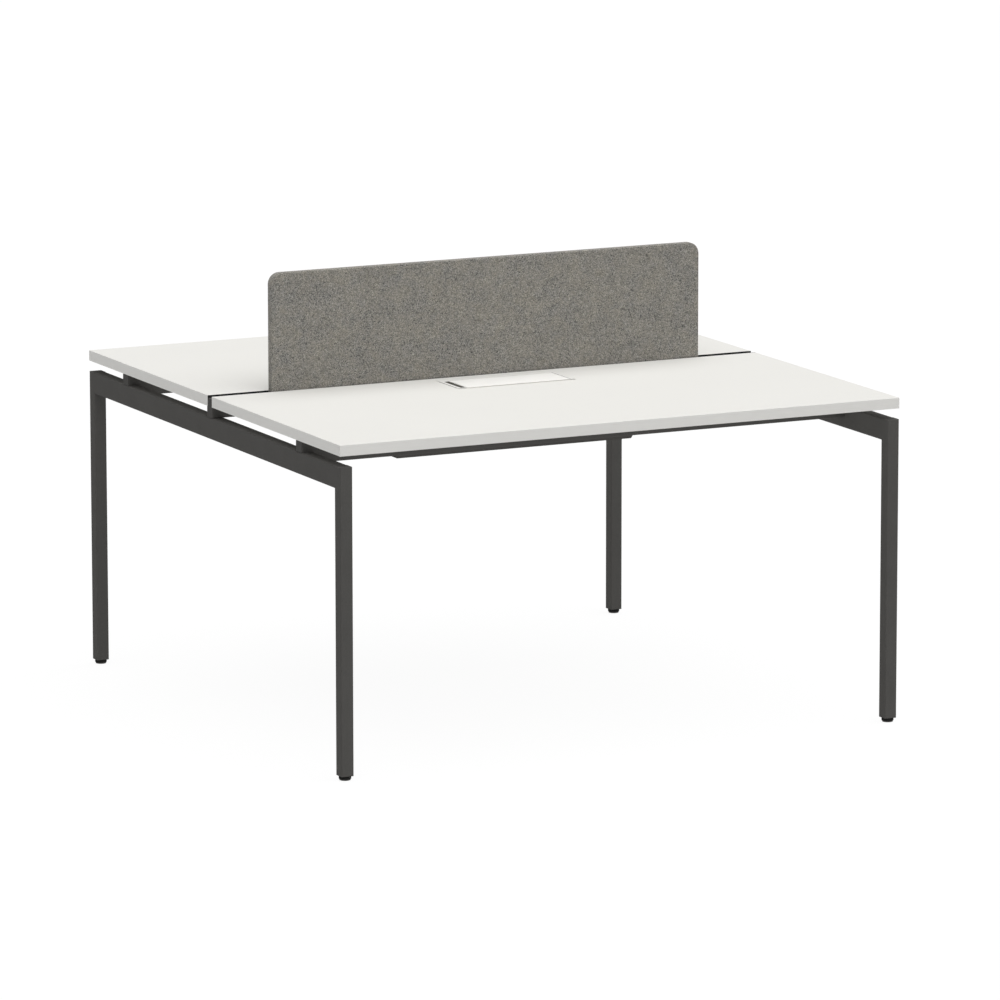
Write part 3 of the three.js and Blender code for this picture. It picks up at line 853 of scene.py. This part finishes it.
def makeStudio():
    look = studio
    half = look["floorWidth"] / 2
    floorMat, _, shader, _ = newMaterial("studioFloor")
    shader.inputs["Base Color"].default_value = (*look["floorColour"], 1.0)
    shader.inputs["Roughness"].default_value = 1.0
    shader.inputs["Specular IOR Level"].default_value = 0.0
    shader.inputs["Emission Color"].default_value = (1.0, 1.0, 1.0, 1.0)
    shader.inputs["Emission Strength"].default_value = look["floorGlow"]
    edge = np.linspace(-half, half, 3)
    x, y = np.meshgrid(edge, edge)
    mesh = bpy.data.meshes.new("studio_floor")
    points = np.stack([x, y, 0 * x], -1).reshape(-1, 3)
    mesh.from_pydata(points.tolist(), [], gridFaces(*x.shape).tolist())
    mesh.materials.append(floorMat)
    floor = bpy.data.objects.new("studio_floor", mesh)
    bpy.context.scene.collection.objects.link(floor)
    floor.visible_diffuse = False

    world = bpy.data.worlds.new("studioSky")
    bpy.context.scene.world = world
    world.use_nodes = True
    sky = world.node_tree
    direction = sky.nodes.new("ShaderNodeTexCoord").outputs["Generated"]
    split = sky.nodes.new("ShaderNodeSeparateXYZ")
    sky.links.new(direction, split.inputs["Vector"])
    shift = sky.nodes.new("ShaderNodeMapRange")
    shift.inputs["From Min"].default_value = -look["skyBlend"]
    shift.inputs["From Max"].default_value = look["skyBlend"]
    shift.inputs["To Min"].default_value = look["skyLow"]
    shift.inputs["To Max"].default_value = look["skyHigh"]
    sky.links.new(split.outputs["Z"], shift.inputs["Value"])
    sky.links.new(shift.outputs["Result"], sky.nodes["Background"].inputs["Strength"])
    sky.nodes["Background"].inputs["Color"].default_value = (1.0, 1.0, 1.0, 1.0)

    for name, (travel, strength, spread) in look["lamps"].items():
        data = bpy.data.lights.new(f"{name}Light", "SUN")
        data.energy = strength
        data.angle = math.radians(spread)
        lamp = bpy.data.objects.new(f"{name}Light", data)
        bpy.context.scene.collection.objects.link(lamp)
        lamp.rotation_mode = "QUATERNION"
        lamp.rotation_quaternion = Vector(travel).to_track_quat("-Z", "Y")
    bpy.context.scene.view_settings.view_transform = "Standard"


makeStudio()


# camera at the photo's place, worked out from the worktop's corners and the feet

cameraPlace = {
    "azimuth": -25.893,
    "elevation": 10.625,
    "roll": -0.052,
    "distance": 16.629,
    "aside": 0.03163,
    "above": 0.07716,
    "aimHeight": 0.3775,
    "lens": 256.84,
    "sensor": 36.0,
    "clipEnd": 200.0,
}


def makeCamera():
    place = cameraPlace
    az, el = math.radians(place["azimuth"]), math.radians(place["elevation"])
    back = Vector((math.sin(az) * math.cos(el), -math.cos(az) * math.cos(el), math.sin(el)))
    right = Vector((math.cos(az), math.sin(az), 0))
    up = back.cross(right)
    roll = math.radians(place["roll"])
    spin = Matrix.Rotation(roll, 3, back)
    right, up = spin @ right, spin @ up
    data = bpy.data.cameras.new("photoCamera")
    data.lens = place["lens"]
    data.sensor_width = place["sensor"]
    data.clip_end = place["clipEnd"]
    camera = bpy.data.objects.new("photoCamera", data)
    bpy.context.scene.collection.objects.link(camera)
    turn = Matrix((right, up, back)).transposed()
    aim = Vector((0, 0, place["aimHeight"]))
    spot = aim + back * place["distance"] + right * place["aside"] + up * place["above"]
    camera.matrix_world = Matrix.Translation(spot) @ turn.to_4x4()
    bpy.context.scene.camera = camera


makeCamera()
print("studio and camera ready")
